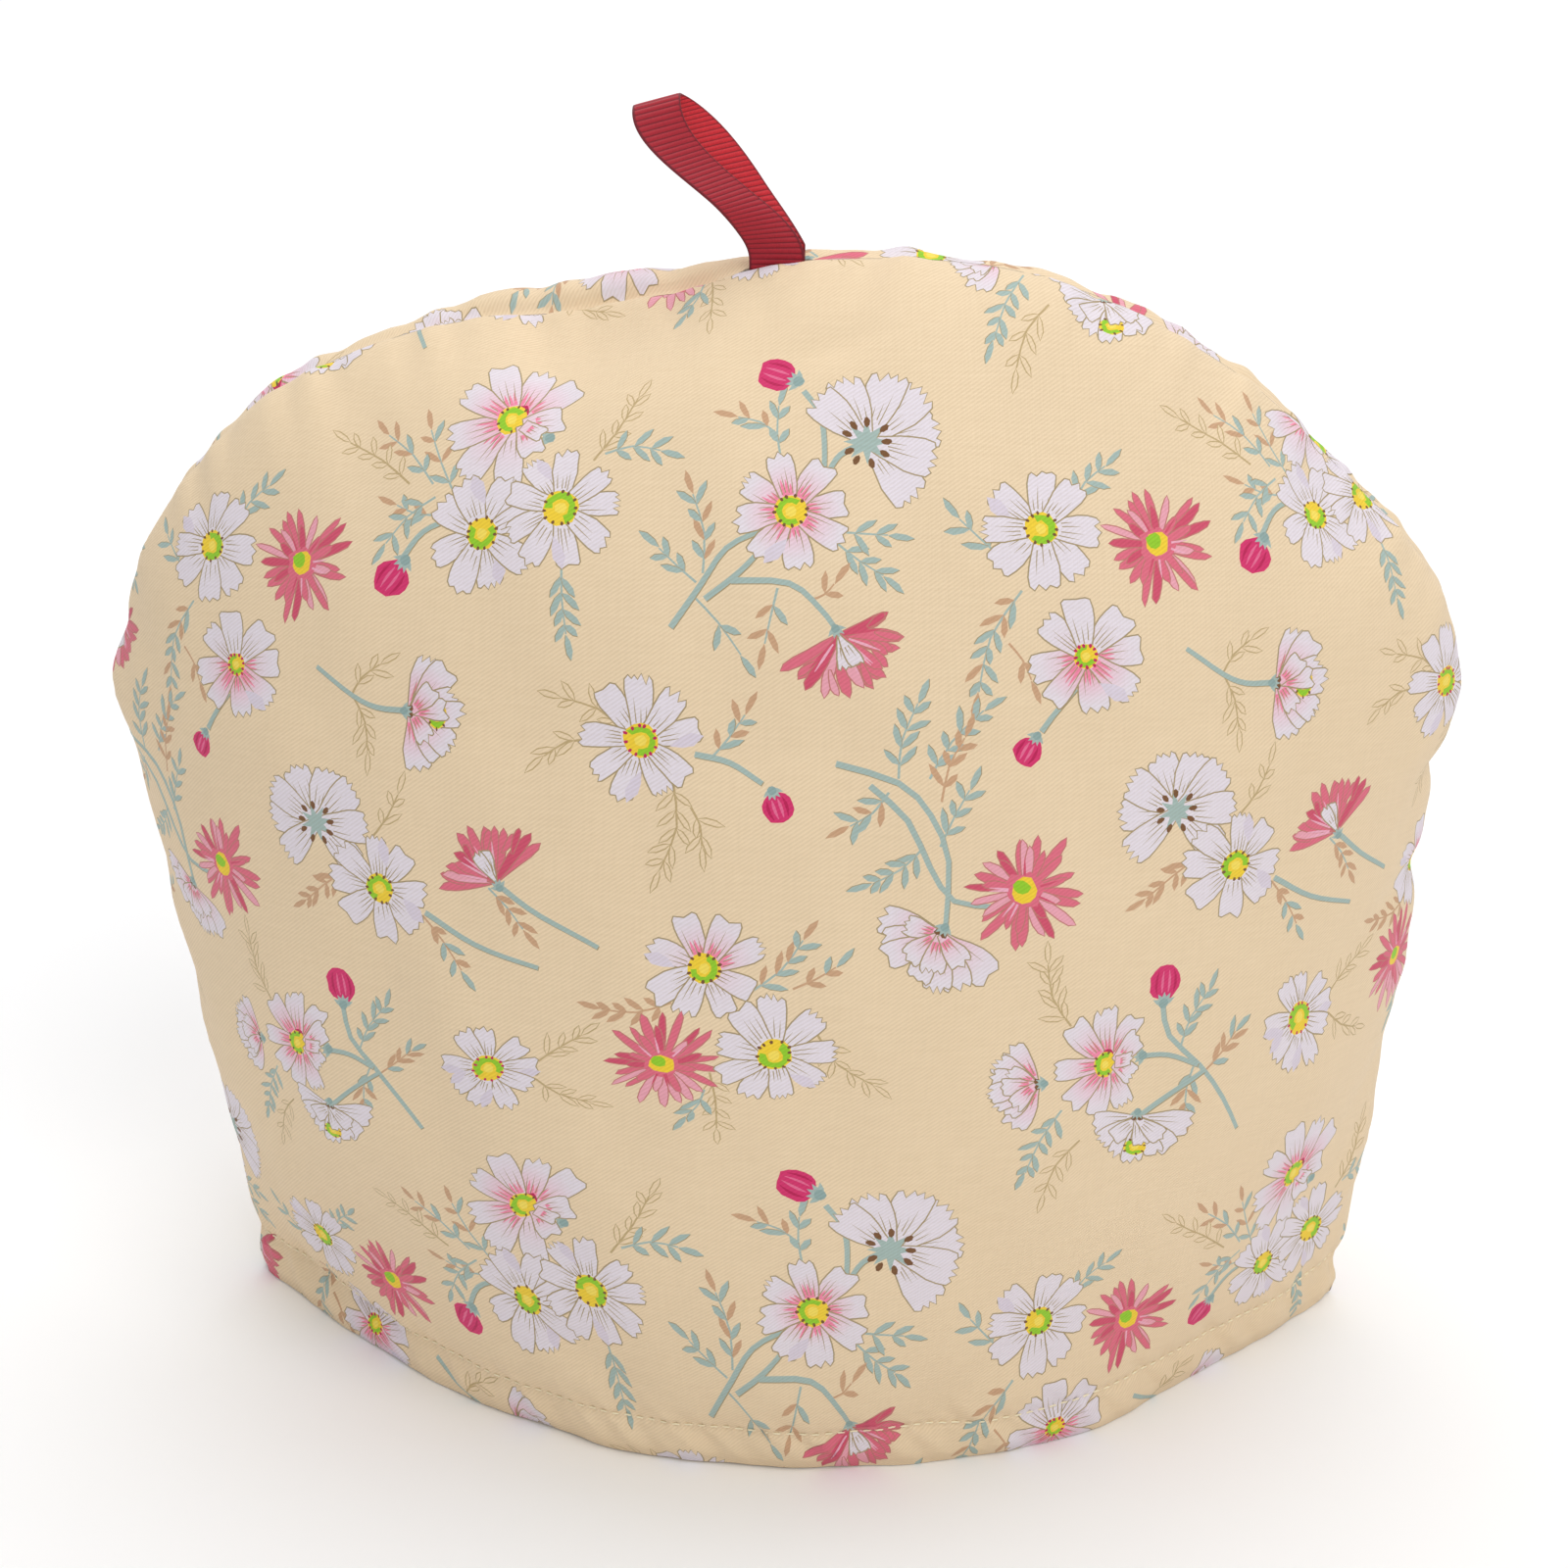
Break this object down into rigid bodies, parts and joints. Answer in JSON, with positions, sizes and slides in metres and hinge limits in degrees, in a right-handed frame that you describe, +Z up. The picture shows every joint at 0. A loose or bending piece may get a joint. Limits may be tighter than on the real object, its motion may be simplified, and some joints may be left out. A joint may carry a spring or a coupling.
{
  "type": "tea cosy",
  "caption": "Padded dome-shaped tea cosy in flower-printed cotton, open at the hem, with a ribbon loop in the top seam.",
  "frame": {"origin": "middle of the cosy's footprint, on the surface that the hem rests on", "axes": "+X along the seam towards the cosy's right, +Y from the front panel to the back panel, +Z up"},
  "size_m": [0.3271, 0.2034, 0.318],
  "materials": {
    "printed_cloth": "matte",
    "red_ribbon": "matte"
  },
  "bodies": {
    "root": {"front_panel": "printed_cloth", "back_panel": "printed_cloth", "ribbon_loop": "red_ribbon"}
  },
  "joints": []
}
